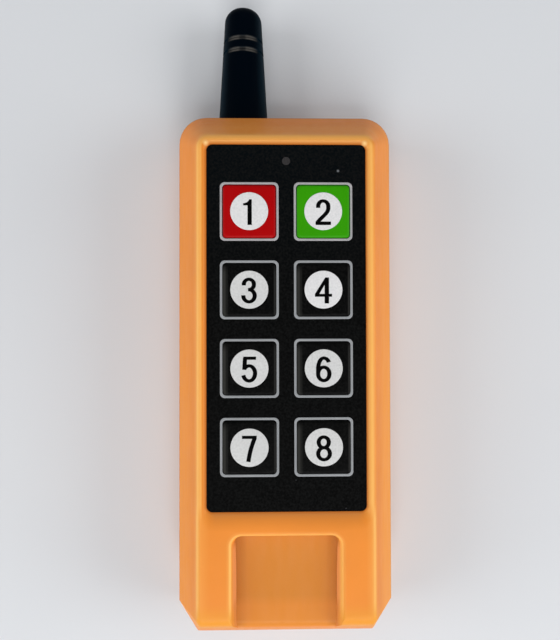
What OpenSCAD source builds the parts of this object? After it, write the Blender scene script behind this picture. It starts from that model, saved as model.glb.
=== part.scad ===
// Handheld industrial wireless remote control with eight keys and a stub antenna.
// It lies on its back: X is across, Y runs up towards the antenna, Z points out of the front face.
// The origin is the middle of the flat back face.

/* [Housing] */
// Width across the widest line, where the two shells meet
body_w = 62.1; // [60:0.1:70]
// Length of the housing at its widest line, without the antenna
body_l = 150.5; // [146:0.1:160]
// Height of the back shell, from the back face to the line where the shells meet
back_h = 17.1; // [16.5:0.1:22]
// Height of the front shell, from that line to the front face
front_h = 14.9; // [14:0.1:18]
// Width of the front face at its sharp corners
face_w = 47.8; // [47:0.1:52]
// How far the top end leans back over the height of the front shell
top_lean = 10.4; // [6:0.1:12]
// How far the bottom end leans out over the height of the front shell
foot_lean = 8.9; // [4:0.1:10]
// Width of the cut at each bottom corner, at the widest line
foot_cut = 5.45; // [2:0.05:6]
// Plan radius of the top corners at the widest line
corner_r = 8; // [5:0.5:10]
// Plan radius of the top corners at the front face
face_corner_r = 3; // [2.4:0.1:5]
// Plan radius of the corners at both ends of each cut
foot_corner_r = 1; // [0.4:0.1:1.6]
// Rounding of the long edges of the front face
edge_r = 1.3; // [0.8:0.05:2]
// Rounding of the top edge of the front face
head_edge_r = 3; // [1:0.1:3.6]
// Rounding of the bottom edge of the front face
end_edge_r = 4; // [2:0.1:5]
// How far each side of the back shell draws in towards the back face
back_draft = 1; // [0:0.1:2]
// Rounding of the edges of the back face
back_edge_r = 2.5; // [1:0.1:3]
// Wall thickness of both shells
wall = 2.2; // [1.8:0.1:2.6]
// Height of the lip that lines up the two shells
lip_h = 1.2; // [0.8:0.1:2]
// Thickness of that lip
lip_t = 0.9; // [0.7:0.1:1.1]

/* [Panel] */
// Width of the black panel
panel_w = 43; // [42:0.1:44]
// Thickness of the black panel
panel_t = 1.2; // [0.8:0.1:1.6]
// Radius of the corners of the panel
panel_r = 1.6; // [1:0.1:3]
// Gap from the sharp top edge of the front face to the panel
panel_margin = 2.1; // [1.6:0.1:3]
// How far the panel lies below the front face
panel_drop = 0.8; // [0.4:0.1:1]
// Width of the slope beside the panel
slope_side = 1.15; // [0.6:0.05:1.3]
// Width of the slope below the panel
slope_foot = 4.7; // [2:0.1:5]
// Thickness of the shelf under the panel
shelf_t = 1.6; // [1.2:0.1:2]

/* [Keys] */
// Distance between the two columns of keys
key_pitch_x = 20; // [19.4:0.1:21]
// Distance between the rows of keys
key_pitch_y = 21.2; // [19.5:0.1:21.5]
// Distance from the top edge of the panel to the first row
key_inset = 18.15; // [16:0.05:18.5]
// Distance from the last row to the bottom edge of the panel
key_foot = 17.3; // [16:0.1:19]
// Width of the line around each key, from outside to outside
frame_w = 16.07; // [15.6:0.01:17]
// Thickness of that line
frame_t = 0.82; // [0.5:0.01:1]
// Outer corner radius of that line
frame_r = 1.35; // [1:0.05:2]
// How far that line stands above the panel
frame_rise = 0.1; // [0.05:0.05:0.2]
// Clearance on each side between a key and its window
key_gap = 0.06; // [0.05:0.01:0.2]
// How far a key stands above the panel
key_rise = 0.5; // [0.3:0.05:0.7]
// Width of the sloped border of a key
key_slope = 0.8; // [0.5:0.05:1.2]
// Radius of the round numeral field on a key
disc_r = 5.09; // [4.5:0.01:5.5]
// How far that field stands above the key
disc_rise = 0.06; // [0.04:0.01:0.1]
// How far a key's flange reaches past its window
flange_reach = 0.8; // [0.6:0.1:1]
// Thickness of a key's flange
flange_t = 0.8; // [0.6:0.1:1.2]
// Length of the stem under a key
stem_l = 1; // [0.8:0.1:2]
// Radius of that stem
stem_r = 2.2; // [1.8:0.1:3]
// Travel of a key
key_travel = 0.5; // [0.3:0.05:0.7]

/* [Thumb recess] */
// Width of the recess at the front face, before its edge is rounded
recess_w = 30; // [26:0.1:32]
// Distance from the bottom edge of the panel to the recess
recess_margin = 6.3; // [6.1:0.1:10]
// Depth of the recess at its upper end
recess_depth = 3.4; // [2.5:0.1:3.6]
// Depth of the recess from the end of its ramp to the bottom end
recess_depth_end = 4.4; // [3.6:0.1:4.8]
// Length of the ramp in the floor of the recess
recess_ramp = 11; // [8:0.5:14]
// Radius of the upper corners of the recess
recess_corner_r = 3; // [2:0.1:4]
// Slant of the side walls of the recess, in degrees
recess_draft = 15; // [8:1:25]
// Slant of its upper wall, in degrees
recess_head_draft = 10; // [4:1:20]
// Rounding of the edge of the recess
recess_edge_r = 1; // [0.6:0.1:1.4]
// Rounding of its floor over the bottom end
recess_end_r = 3.5; // [2:0.1:4]

/* [Antenna] */
// Length of the antenna outside the housing
antenna_l = 35.8; // [30:0.1:60]
// Radius of the antenna at its foot
antenna_foot_r = 7.55; // [6:0.05:7.6]
// Radius of the antenna at its tip
antenna_tip_r = 5.45; // [4.5:0.05:6]
// Radius of the rounding of the tip
antenna_dome_r = 4; // [2:0.1:4.4]
// Distance of the antenna from the middle of the housing
antenna_x = 12.5; // [8:0.1:14]
// Height of the antenna above the back face
antenna_z = 9.4; // [8.6:0.1:9.6]
// Distance from the tip to the first ring groove
groove_from_tip = 10.5; // [8:0.1:14]
// Distance between the two ring grooves
groove_pitch = 3.6; // [2.5:0.1:5]
// Width of a ring groove
groove_w = 0.9; // [0.5:0.1:1.2]
// Depth of a ring groove
groove_d = 0.35; // [0.2:0.05:0.6]
// Radius of the threaded stud of the antenna
stud_r = 3; // [2.5:0.1:3.5]
// Length of that stud inside the housing, from the outside of the wall
stud_in = 12; // [11:0.5:14]
// Length of that stud inside the sleeve
stud_out = 8; // [5:0.5:12]
// Radius of the core rod of the antenna
core_r = 1; // [0.6:0.1:1.4]
// Distance across the flats of the nut
nut_w = 10; // [8:0.1:11]
// Thickness of the nut
nut_t = 3; // [2:0.1:4]
// Radius of the solid wire from the stud to the board
lead_r = 0.5; // [0.3:0.05:0.7]

/* [Circuit board] */
// Width of the board
board_w = 39.6; // [38:0.1:40]
// Distance from the bottom end of the housing to the board
board_foot_gap = 14.3; // [12:0.1:17]
// Distance from the top end of the housing to the board
board_head_gap = 8.9; // [8.6:0.1:11]
// Thickness of the board
board_t = 1.6; // [1:0.1:2]
// Width of a tactile switch
switch_w = 6.2; // [5.8:0.1:6.6]
// Height of a tactile switch without its plunger
switch_h = 3.5; // [3:0.1:4.5]
// Radius of the plunger of a tactile switch
plunger_r = 1.7; // [1.4:0.05:2]
// How far the plunger stands above its switch
plunger_h = 0.9; // [0.8:0.05:1.5]
// Depth of the plunger inside its switch
plunger_in = 1; // [0.6:0.1:1.4]
// Radius of the status lamp
lamp_r = 1.5; // [1.2:0.1:2.5]
// Height of the straight part of the status lamp
lamp_h = 2.8; // [2:0.1:3.4]
// Radius of the lamp window in the panel
window_r = 1.1; // [0.8:0.05:1.5]
// Distance from the top edge of the panel to the lamp window
window_inset = 4.4; // [3.5:0.1:5.5]
// Distance from the top edge of the board to the radio module
radio_inset = 8; // [6:0.5:12]

/* [Power] */
// Diameter of a battery cell
cell_d = 14.5; // [14:0.1:14.7]
// Length of a battery cell with its button
cell_l = 50.5; // [49.5:0.1:51]
// Radius of the button of a cell
button_r = 2.75; // [2:0.05:3]
// Height of the button of a cell
button_h = 1.2; // [1:0.1:1.6]
// Room for the spring at the end of each cell
spring_room = 4.6; // [4:0.1:6]
// Thickness of the battery door
door_t = 2; // [1.8:0.1:2.4]
// Clearance around the battery door
door_gap = 0.15; // [0.1:0.01:0.25]
// Width of each guide tongue of the door
tongue_w = 1.3; // [1:0.1:1.6]
// Thickness of each guide tongue
tongue_t = 0.9; // [0.7:0.1:1]
// Number of grip grooves across the door
grip_count = 6; // [3:1:8]

/* [Screws] */
// Distance of the case screws from the middle of the housing
case_screw_x = 23.6; // [23.4:0.1:24]
// Distance of the lower case screws from the bottom end
case_screw_foot = 10; // [9:0.1:12]
// Distance of the upper case screws from the top end
case_screw_head = 15; // [14.6:0.1:18]
// Radius of a case screw
case_screw_r = 1.25; // [1:0.05:1.4]
// Depth of the countersunk well of a case screw
case_screw_well = 8; // [5:0.5:10]
// Length of a case screw under its head
case_screw_l = 14; // [12:0.5:16]
// Distance of the board screws from the middle of the board
board_screw_x = 17; // [16.8:0.1:17.4]
// Radius of a board screw
board_screw_r = 0.9; // [0.7:0.05:1]
// Length of a board screw under its head
board_screw_l = 5.5; // [4:0.5:6]

/* [Hidden] */
$fn = 48;

// Clearances and overruns
over = 0.6;
fit_gap = 0.05;
seat_gap = 0.1;

// Fineness of the rounded corners and edges
corner_steps = 8;
foot_steps = 3;
edge_steps = 12;
slope_steps = 5;
key_steps = 3;
groove_steps = 6;
wire_sides = 6;
wire_rings_per_turn = 8;

// Heights
body_t = back_h + front_h;
panel_top_z = body_t - panel_drop;
shelf_top_z = panel_top_z - panel_t;
shelf_z = shelf_top_z - shelf_t;
flange_top_z = shelf_z - seat_gap;
stem_z = flange_top_z - flange_t - stem_l;
switch_top_z = stem_z - plunger_h;
board_top_z = switch_top_z - switch_h;
board_z = board_top_z - board_t;

// Housing ends and leans
end_y = body_l / 2;
face_top_y = end_y - top_lean;
face_foot_y = foot_lean - end_y;
side_lean = (body_w - face_w) / 2;
side_tan = side_lean / front_h;
top_tan = top_lean / front_h;
foot_tan = foot_lean / front_h;
foot_lean_angle = atan(foot_tan);
back_tan = back_draft / back_h;
corner_grow = (corner_r - face_corner_r) / front_h;

// Cuts at the bottom corners: their direction in plan, their least width, and how much narrower
// they get per unit of inset of all the walls
cut_angle = atan2(foot_cut, foot_lean);
cut_least = foot_corner_r * sin(cut_angle) * (tan(cut_angle / 2) + tan(45 - cut_angle / 2)) + fit_gap;
cut_grow = (foot_cut - cut_least) / front_h;
cut_tan = side_tan * cos(cut_angle);
side_draw = sqrt(1 + side_tan * side_tan);
top_draw = sqrt(1 + top_tan * top_tan);
foot_draw = sqrt(1 + foot_tan * foot_tan);
cut_draw = side_draw - (sqrt(1 + cut_tan * cut_tan) - foot_draw * sin(cut_angle)) / cos(cut_angle);

// Panel and keys
panel_l = key_inset + 3 * key_pitch_y + key_foot;
panel_y1 = face_top_y - panel_margin;
panel_y0 = panel_y1 - panel_l;
slope_head = min(slope_side, panel_margin - 3 * seat_gap);
slope_gap = 2 * seat_gap;
window_w = frame_w - 2 * frame_t;
window_corner_r = frame_r - frame_t / 2;
key_w = window_w - 2 * key_gap;
flange_w = window_w + 2 * flange_reach;
key_row_y = [for (i = [0:3]) panel_y1 - key_inset - i * key_pitch_y];
key_col_x = [-key_pitch_x / 2, key_pitch_x / 2];
function key_at(i) = [key_col_x[i % 2], key_row_y[floor(i / 2)]];
lamp_y = panel_y1 - window_inset;
window_flange_r = window_r + flange_reach;

// Thumb recess
recess_y1 = panel_y0 - recess_margin;
liner_t = wall - 2 * seat_gap;

// Antenna
antenna_at = [-antenna_x, end_y, antenna_z];
dome_y = antenna_l - antenna_dome_r;
core_l = antenna_l - groove_from_tip / 2;
lead_y = end_y - stud_in + 3 * lead_r;

// Circuit board, its screws and the width, length and height of what hangs under it
radio_size = [15, 19, 2.8];
chip_size = [7.5, 12.8, 2.3];
crystal_size = [4.6, 11, 3.6];
board_y0 = board_foot_gap - end_y;
board_y1 = end_y - board_head_gap;
post_r = board_screw_r + 1.4 * board_screw_r;
post_y = [(key_row_y[0] + key_row_y[1]) / 2, key_row_y[3] - flange_w / 2 - post_r - flange_t];
post_places = [for (x = [-board_screw_x, board_screw_x], y = post_y) [x, y]];
board_head_r = 2.2 * board_screw_r;
board_head_h = 1.5 * board_screw_r;

// Battery bay
bay_y0 = wall + door_gap + flange_t - end_y;
contact_t = 0.4;
cell_gap = 0.2;
cell_pitch = cell_d + cell_gap;
bay_w = cell_pitch + cell_d + 2 * cell_gap;
bay_l = 2 * contact_t + spring_room + cell_l + cell_gap;
bay_y1 = bay_y0 + bay_l;
cell_z = door_t + door_gap + cell_d / 2;
bay_roof_z = cell_z + cell_d / 2 + cell_gap;
bay_wall = 1.5;
roof_t = 1.2;
door_w = bay_w + 2 * bay_wall;
door_y1 = bay_y1 + bay_wall;
tongue_z = door_t - tongue_t - seat_gap;
rail_h = door_t + bay_wall;
contact_w = 11;
contact_z0 = door_t + bay_wall;
tab_w = 3;
spring_turns = 4;
spring_wire_r = 0.4;
spring_foot_r = 4;
spring_tip_r = 2.4;

// Case screws
screw_places = [
    for (x = [-case_screw_x, case_screw_x], y = [case_screw_foot - end_y, end_y - case_screw_head])
        [x, y]
];
case_head_r = 2.1 * case_screw_r;
case_head_h = 1.5 * case_screw_r;
well_r = case_head_r + 4 * seat_gap;
back_boss_r = well_r + wall / 2;
front_boss_r = 2.5 * case_screw_r;
pilot_gap = fit_gap;

// Points of an arc, from angle a0 to a1
function arc(cx, cy, r, a0, a1, n) =
    [for (i = [0:n]) let (a = a0 + (a1 - a0) * i / n) [cx + r * cos(a), cy + r * sin(a)]];

// Outline with two upper corners of radius rt and two lower ones of radius rb
function outline(hw, yt, yb, rt, rb, nt, nb) = concat(
    arc(hw - rt, yt - rt, rt, 0, 90, nt),
    arc(rt - hw, yt - rt, rt, 90, 180, nt),
    arc(rb - hw, yb + rb, rb, 180, 270, nb),
    arc(hw - rb, yb + rb, rb, 270, 360, nb)
);

// Outline of the housing: round upper corners, and lower corners that are cut off with width cut
function housing_outline(hw, yt, yb, rt, cut) =
    let (
        r = foot_corner_r,
        side_y = yb + cut / tan(cut_angle) + r * tan(cut_angle / 2),
        end_x = hw - cut - r * tan(45 - cut_angle / 2)
    )
    concat(
        arc(hw - rt, yt - rt, rt, 0, 90, corner_steps),
        arc(rt - hw, yt - rt, rt, 90, 180, corner_steps),
        arc(r - hw, side_y, r, 180, 180 + cut_angle, foot_steps),
        arc(-end_x, yb + r, r, 180 + cut_angle, 270, foot_steps),
        arc(end_x, yb + r, r, 270, 360 - cut_angle, foot_steps),
        arc(hw - r, side_y, r, 360 - cut_angle, 360, foot_steps)
    );

// A flat list of points lifted to height z
function lifted(points, z) = [for (p = points) [p[0], p[1], z]];

// Inset of a rounded edge at depth d, for a wall that leans out by t per unit of depth
function edge_inset(r, t, d) =
    let (a = atan(t))
    d < r * (1 - sin(a)) ? r / cos(a) - r * t + d * t - sqrt(r * r - (r - d) * (r - d)) : 0;

// Body between rings of points, from the lowest to the highest
module loft(rings) {
    n = len(rings[0]);
    m = len(rings);
    polyhedron(
        points = [for (ring = rings) each ring],
        faces = concat(
            [[for (i = [0:n - 1]) i]],
            [for (j = [0:m - 2], i = [0:n - 1]) [j * n + i, (j + 1) * n + i, (j + 1) * n + (i + 1) % n]],
            [for (j = [0:m - 2], i = [0:n - 1]) [j * n + i, (j + 1) * n + (i + 1) % n, j * n + (i + 1) % n]],
            [[for (i = [n - 1:-1:0]) (m - 1) * n + i]]
        )
    );
}

// Flat rounded rectangle made of straight and round pieces
module rounded_rect(w, l, r) {
    square([w - 2 * r, l], center = true);
    square([w, l - 2 * r], center = true);
    for (x = [r - w / 2, w / 2 - r], y = [r - l / 2, l / 2 - r])
        translate([x, y])
            circle(r);
}

module rounded_plate(w, l, h, r) {
    linear_extrude(h)
        rounded_rect(w, l, r);
}

// Cylinder along Y
module rod_y(r, l) {
    rotate([-90, 0, 0])
        cylinder(r = r, h = l);
}

// Outline of the front shell at depth d below the front face, drawn in by inset all round
function front_ring(d, inset = 0) =
    let (
        side_in = edge_inset(edge_r, side_tan, d),
        head_in = edge_inset(head_edge_r, top_tan, d),
        foot_in = edge_inset(end_edge_r, foot_tan, d)
    )
    housing_outline(
        face_w / 2 + d * side_tan - side_in - inset * side_draw,
        face_top_y + d * top_tan - head_in - inset * top_draw,
        face_foot_y - d * foot_tan + foot_in + inset * foot_draw,
        max(face_corner_r + d * corner_grow - side_in - inset, foot_corner_r),
        max(cut_least + d * cut_grow - inset * cut_draw, cut_least)
    );

// Outline of the back shell at height z above the back face, drawn in by inset all round
function back_ring(z, inset = 0) =
    let (round_in = edge_inset(back_edge_r, 0, z))
    housing_outline(
        body_w / 2 - (back_h - z) * back_tan - round_in - inset,
        end_y - round_in - inset,
        round_in + inset - end_y,
        max(corner_r - round_in - inset, foot_corner_r),
        max(foot_cut - (round_in + inset) * cut_draw, cut_least)
    );

module front_outer() {
    depths = concat(
        [front_h],
        [for (i = [edge_steps:-1:0]) end_edge_r * (1 - cos(90 * i / edge_steps))]
    );
    loft([for (d = depths) lifted(front_ring(d), body_t - d)]);
}

module front_cavity() {
    loft([
        lifted(front_ring(front_h, wall), back_h - over),
        lifted(front_ring(front_h, wall), back_h),
        lifted(front_ring(body_t - shelf_z, wall), shelf_z)
    ]);
}

module back_outer() {
    heights = [for (i = [0:edge_steps / 2]) back_edge_r * (1 - cos(180 * i / edge_steps))];
    loft([
        for (z = concat(heights, [back_h]))
            lifted(back_ring(z), z)
    ]);
}

module back_cavity() {
    loft([
        for (z = [wall, back_h, back_h + over])
            lifted(back_ring(min(z, back_h), wall), z)
    ]);
}

// Soft slope from the front face down to the panel
module panel_slope() {
    steps = [for (i = [0:slope_steps]) i / slope_steps];
    rings = [
        for (s = steps)
            lifted(
                outline(
                    panel_w / 2 + slope_gap + slope_side * s,
                    panel_y1 + slope_gap + slope_head * s,
                    panel_y0 - slope_gap - slope_foot * s,
                    panel_r + seat_gap + slope_side * s,
                    panel_r + seat_gap + slope_side * s,
                    corner_steps / 2,
                    corner_steps / 2
                ),
                body_t - panel_drop * (1 - s) * (1 - s)
            )
    ];
    top_ring = rings[slope_steps];
    loft(concat(rings, [[for (p = top_ring) [p[0], p[1], p[2] + over]]]));
}

// Plan outline of the thumb recess at depth d
function recess_ring(d) =
    let (
        side_t = tan(recess_draft),
        head_t = tan(recess_head_draft),
        side_flare = edge_inset(recess_edge_r, side_t, d),
        head_flare = edge_inset(recess_edge_r, head_t, d)
    )
    outline(
        recess_w / 2 - d * side_t + side_flare,
        recess_y1 - d * head_t + head_flare,
        -end_y - over,
        recess_corner_r - d * side_t / 2 + side_flare,
        seat_gap,
        corner_steps,
        1
    );

// Side view of the thumb recess: its floor, its ramp and the rounding over the bottom end
module recess_side_view() {
    floor_z = body_t - recess_depth_end;
    round_y = face_foot_y + (recess_end_r - (recess_depth_end + recess_end_r) * sin(foot_lean_angle))
        / cos(foot_lean_angle);
    round_over = arc(
        round_y, floor_z - recess_end_r, recess_end_r, 180 - foot_lean_angle, 90, corner_steps
    );
    polygon(concat(
        [[-end_y - over, body_t + over], [-end_y - over, round_over[0][1]]],
        round_over,
        [
            [recess_y1 - recess_ramp, floor_z],
            [recess_y1 + over, body_t - recess_depth],
            [recess_y1 + 2 * recess_edge_r, body_t - recess_depth],
            [recess_y1 + 2 * recess_edge_r, body_t + over]
        ]
    ));
}

module thumb_recess() {
    depths = concat(
        [recess_depth_end + recess_end_r + over],
        [for (i = [slope_steps:-1:0]) recess_edge_r * (1 - cos(90 * i / slope_steps))]
    );
    intersection() {
        loft(concat(
            [for (d = depths) lifted(recess_ring(d), body_t - d)],
            [lifted(recess_ring(0), body_t + over)]
        ));
        rotate([90, 0, 90])
            translate([0, 0, -recess_w])
                linear_extrude(2 * recess_w)
                    recess_side_view();
    }
}

module windows(w, z, h, r) {
    for (i = [0:7])
        translate([key_at(i)[0], key_at(i)[1], z])
            rounded_plate(w, w, h, r);
}

module front_shell() {
    color("darkorange")
        difference() {
            front_outer();
            difference() {
                front_cavity();
                translate([-recess_w / 2 - liner_t, -end_y, body_t - recess_depth_end - liner_t])
                    cube([recess_w + 2 * liner_t, recess_y1 + end_y + liner_t, front_h]);
                for (p = screw_places)
                    translate([p[0], p[1], back_h])
                        cylinder(r = front_boss_r, h = front_h);
                for (p = post_places)
                    translate([p[0], p[1], board_top_z])
                        cylinder(r = post_r, h = front_h);
            }
            for (p = screw_places)
                translate([p[0], p[1], back_h - over])
                    cylinder(r = case_screw_r + pilot_gap, h = case_screw_l - back_h + case_screw_well + 3 * over);
            for (p = post_places)
                translate([p[0], p[1], board_top_z - over])
                    cylinder(r = board_screw_r + pilot_gap, h = board_screw_l - board_t + 2 * over);
            panel_slope();
            translate([0, (panel_y0 + panel_y1) / 2, shelf_top_z])
                rounded_plate(panel_w + 2 * seat_gap, panel_l + 2 * seat_gap, panel_t + panel_drop / 2, panel_r);
            windows(window_w, shelf_z - over, shelf_t + 2 * over, window_corner_r);
            translate([0, lamp_y, shelf_z - over])
                cylinder(r = window_r + fit_gap, h = shelf_t + 2 * over);
            thumb_recess();
            shell_lip(seat_gap);
        }
}

// Lip of the back shell, or with a gap the rebate for it in the front shell
module shell_lip(gap = 0) {
    translate([0, 0, back_h - (gap > 0 ? over : 0)])
        linear_extrude(lip_h + gap + (gap > 0 ? over : 0))
            difference() {
                polygon(front_ring(front_h, wall - lip_t - gap));
                polygon(front_ring(front_h, wall + (gap > 0 ? over : 0)));
            }
}

module bay_block() {
    translate([-door_w / 2, bay_y0 - bay_wall, 0])
        cube([door_w, bay_l + 2 * bay_wall, bay_roof_z + roof_t]);
    translate([-door_w / 2 - tongue_w - bay_wall, -end_y, 0])
        cube([door_w + 2 * tongue_w + 2 * bay_wall, door_y1 + end_y + bay_wall, rail_h]);
}

module back_shell() {
    color("orange")
        difference() {
            union() {
                difference() {
                    back_outer();
                    difference() {
                        back_cavity();
                        bay_block();
                        for (p = screw_places)
                            translate([p[0], p[1], 0])
                                cylinder(r = back_boss_r, h = body_t);
                    }
                }
                translate([-door_w / 2, bay_y0 - bay_wall, wall])
                    cube([door_w, bay_l + 2 * bay_wall, bay_roof_z + roof_t - wall]);
                shell_lip();
            }
            translate([-bay_w / 2, bay_y0, -over])
                cube([bay_w, bay_l, bay_roof_z + over]);
            translate([-door_w / 2 - door_gap, -end_y - over, -over])
                cube([door_w + 2 * door_gap, door_y1 + end_y + over + door_gap, door_t + over + door_gap]);
            translate([-door_w / 2 - tongue_w - door_gap, -end_y - over, tongue_z - seat_gap])
                cube([
                    door_w + 2 * tongue_w + 2 * door_gap,
                    door_y1 + end_y + over - tongue_w,
                    tongue_t + 2 * seat_gap
                ]);
            for (s = [-1, 1])
                translate([s * cell_pitch / 2 - tab_w / 2 - fit_gap, bay_y1 - contact_t - fit_gap, cell_z])
                    cube([tab_w + 2 * fit_gap, contact_t + fit_gap, front_h]);
            for (p = screw_places) {
                translate([p[0], p[1], -over])
                    cylinder(r = well_r, h = case_screw_well + over);
                translate([p[0], p[1], 0])
                    cylinder(r = case_screw_r + seat_gap, h = body_t);
            }
            translate([antenna_at[0], end_y - wall - over, antenna_z])
                rod_y(stud_r + fit_gap, wall + 2 * over);
        }
}

module keypad_panel() {
    color([0.07, 0.07, 0.08])
        difference() {
            union() {
                translate([0, (panel_y0 + panel_y1) / 2, shelf_top_z])
                    rounded_plate(panel_w, panel_l, panel_t, panel_r);
                windows(frame_w, shelf_top_z, panel_t + frame_rise, frame_r);
            }
            windows(window_w, shelf_top_z - over, panel_t + 2 * over, window_corner_r);
            translate([0, lamp_y, shelf_top_z - over])
                cylinder(r = window_r + fit_gap, h = panel_t + 2 * over);
        }
}

module lamp_window() {
    color("dimgray")
        translate([0, lamp_y, 0]) {
            translate([0, 0, flange_top_z - flange_t])
                cylinder(r = window_r, h = panel_top_z - flange_top_z + flange_t);
            translate([0, 0, flange_top_z - flange_t])
                cylinder(r = window_flange_r, h = flange_t);
        }
}

// Top of a key: a flat pad with a rounded, sloped border
module key_pad() {
    rings = [
        for (i = [0:key_steps])
            let (
                a = 90 * i / key_steps,
                w = key_w / 2 - key_slope * (1 - cos(a)),
                r = window_corner_r
            )
            lifted(outline(w, w, -w, r, r, key_steps, key_steps), key_rise * sin(a))
    ];
    loft(rings);
}

module key(i, shade) {
    translate([key_at(i)[0], key_at(i)[1], 0]) {
        color(shade) {
            translate([0, 0, panel_top_z])
                key_pad();
            translate([0, 0, flange_top_z])
                rounded_plate(key_w, key_w, panel_top_z - flange_top_z, window_corner_r);
            translate([0, 0, flange_top_z - flange_t])
                rounded_plate(flange_w, flange_w, flange_t, window_corner_r);
            translate([0, 0, stem_z])
                cylinder(r = stem_r, h = stem_l);
        }
        color("white")
            translate([0, 0, panel_top_z])
                cylinder(r = disc_r, h = key_rise + disc_rise);
    }
}

module key_1() { key(0, "red"); }
module key_2() { key(1, "green"); }
module key_3() { key(2, [0.1, 0.1, 0.1]); }
module key_4() { key(3, [0.1, 0.1, 0.1]); }
module key_5() { key(4, [0.1, 0.1, 0.1]); }
module key_6() { key(5, [0.1, 0.1, 0.1]); }
module key_7() { key(6, [0.1, 0.1, 0.1]); }
module key_8() { key(7, [0.1, 0.1, 0.1]); }

module switch_plunger(i) {
    color("black")
        translate([key_at(i)[0], key_at(i)[1], switch_top_z - plunger_in])
            cylinder(r = plunger_r, h = plunger_in + plunger_h);
}

module switch_plunger_1() { switch_plunger(0); }
module switch_plunger_2() { switch_plunger(1); }
module switch_plunger_3() { switch_plunger(2); }
module switch_plunger_4() { switch_plunger(3); }
module switch_plunger_5() { switch_plunger(4); }
module switch_plunger_6() { switch_plunger(5); }
module switch_plunger_7() { switch_plunger(6); }
module switch_plunger_8() { switch_plunger(7); }

module tactile_switches() {
    color("silver")
        for (i = [0:7])
            translate([key_at(i)[0], key_at(i)[1], board_top_z])
                difference() {
                    translate([-switch_w / 2, -switch_w / 2, 0])
                        cube([switch_w, switch_w, switch_h]);
                    translate([0, 0, switch_h - plunger_in - key_travel - seat_gap])
                        cylinder(r = plunger_r + fit_gap, h = plunger_in + key_travel + over);
                }
}

module circuit_board() {
    color("darkgreen")
        difference() {
            translate([-board_w / 2, board_y0, board_z])
                cube([board_w, board_y1 - board_y0, board_t]);
            for (p = post_places)
                translate([p[0], p[1], board_z - over])
                    cylinder(r = board_screw_r + seat_gap, h = board_t + 2 * over);
            translate([antenna_at[0], lead_y, board_z - over])
                cylinder(r = lead_r + fit_gap, h = board_t + 2 * over);
        }
}

module status_lamp() {
    color("ivory")
        translate([0, lamp_y, board_top_z]) {
            cylinder(r = lamp_r, h = lamp_h);
            translate([0, 0, lamp_h])
                sphere(lamp_r);
        }
}

// A box that hangs under the board, centred at x, y
module under_board(size, x, y) {
    translate([x - size[0] / 2, y - size[1] / 2, board_z - size[2]])
        cube(size);
}

module radio_module() {
    color("silver")
        under_board(radio_size, 0, board_y1 - radio_inset - radio_size[1] / 2);
}

module control_chip() {
    color([0.1, 0.1, 0.1])
        under_board(chip_size, 0, key_row_y[1]);
}

module crystal() {
    color("gainsboro")
        under_board(crystal_size, chip_size[0] + crystal_size[0], key_row_y[1]);
}

// Half section of the antenna sleeve, from its foot up
module sleeve_section() {
    taper = (antenna_foot_r - antenna_tip_r) / antenna_l;
    groove_y = [antenna_l - groove_from_tip - groove_pitch, antenna_l - groove_from_tip];
    dome = arc(antenna_tip_r + taper * antenna_dome_r - antenna_dome_r, dome_y, antenna_dome_r, 0, 90, corner_steps);
    difference() {
        polygon(concat([[0, 0], [antenna_foot_r, 0]], dome, [[0, antenna_l]]));
        for (y = groove_y)
            translate([antenna_foot_r - taper * y, y])
                scale([groove_d, groove_w / 2])
                    circle(1, $fn = 4 * groove_steps);
        translate([-over, -over])
            square([stud_r + fit_gap + over, stud_out + fit_gap + over]);
        translate([-over, -over])
            square([core_r + fit_gap + over, core_l + fit_gap + over]);
    }
}

module antenna_sleeve() {
    color([0.08, 0.09, 0.1])
        translate(antenna_at)
            rotate([-90, 0, 0])
                rotate_extrude($fn = 96)
                    sleeve_section();
}

module antenna_stud() {
    color("gold")
        difference() {
            translate([antenna_at[0], end_y - stud_in, antenna_z])
                rod_y(stud_r, stud_in + stud_out);
            translate([antenna_at[0], end_y, antenna_z])
                rod_y(core_r + fit_gap, stud_out + over);
            translate([antenna_at[0], lead_y, antenna_z])
                cylinder(r = lead_r + fit_gap, h = 2 * stud_r);
        }
}

module antenna_core() {
    color("gold")
        translate(antenna_at)
            rod_y(core_r, core_l);
}

module antenna_nut() {
    color("silver")
        translate([antenna_at[0], end_y - wall - nut_t - fit_gap, antenna_z])
            difference() {
                rod_y_hex(nut_w, nut_t);
                translate([0, -over, 0])
                    rod_y(stud_r + fit_gap, nut_t + 2 * over);
            }
}

// Hexagonal bar along Y, w across its flats
module rod_y_hex(w, l) {
    rotate([-90, 0, 0])
        cylinder(r = w / 2 / cos(30), h = l, $fn = 6);
}

module antenna_lead() {
    color("peru")
        translate([antenna_at[0], lead_y, antenna_z])
            cylinder(r = lead_r, h = board_top_z - antenna_z);
}

// A cell along Y with its button at the upper end
module cell() {
    rod_y(cell_d / 2, cell_l - button_h);
    rod_y(button_r, cell_l);
}

module battery_cells() {
    color("steelblue") {
        translate([-cell_pitch / 2, bay_y1 - contact_t - cell_l - fit_gap, cell_z])
            cell();
        translate([cell_pitch / 2, bay_y0 + contact_t + cell_l + fit_gap, cell_z])
            rotate([0, 0, 180])
                cell();
    }
}

// Points of a tube of round wire that winds up a cone
function spring_ring(k, n, h) =
    let (
        s = k / n,
        a = 360 * spring_turns * s,
        r = spring_foot_r + (spring_tip_r - spring_foot_r) * s,
        centre = [r * cos(a), r * sin(a), h * s],
        out = [cos(a), sin(a), 0]
    )
    [
        for (j = [0:wire_sides - 1])
            let (b = 360 * j / wire_sides)
            centre + spring_wire_r * (cos(b) * out - sin(b) * [0, 0, 1])
    ];

module spring(h) {
    n = spring_turns * wire_rings_per_turn;
    translate([0, 0, spring_wire_r])
        loft([for (k = [n:-1:0]) spring_ring(k, n, h - 2 * spring_wire_r)]);
}

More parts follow.
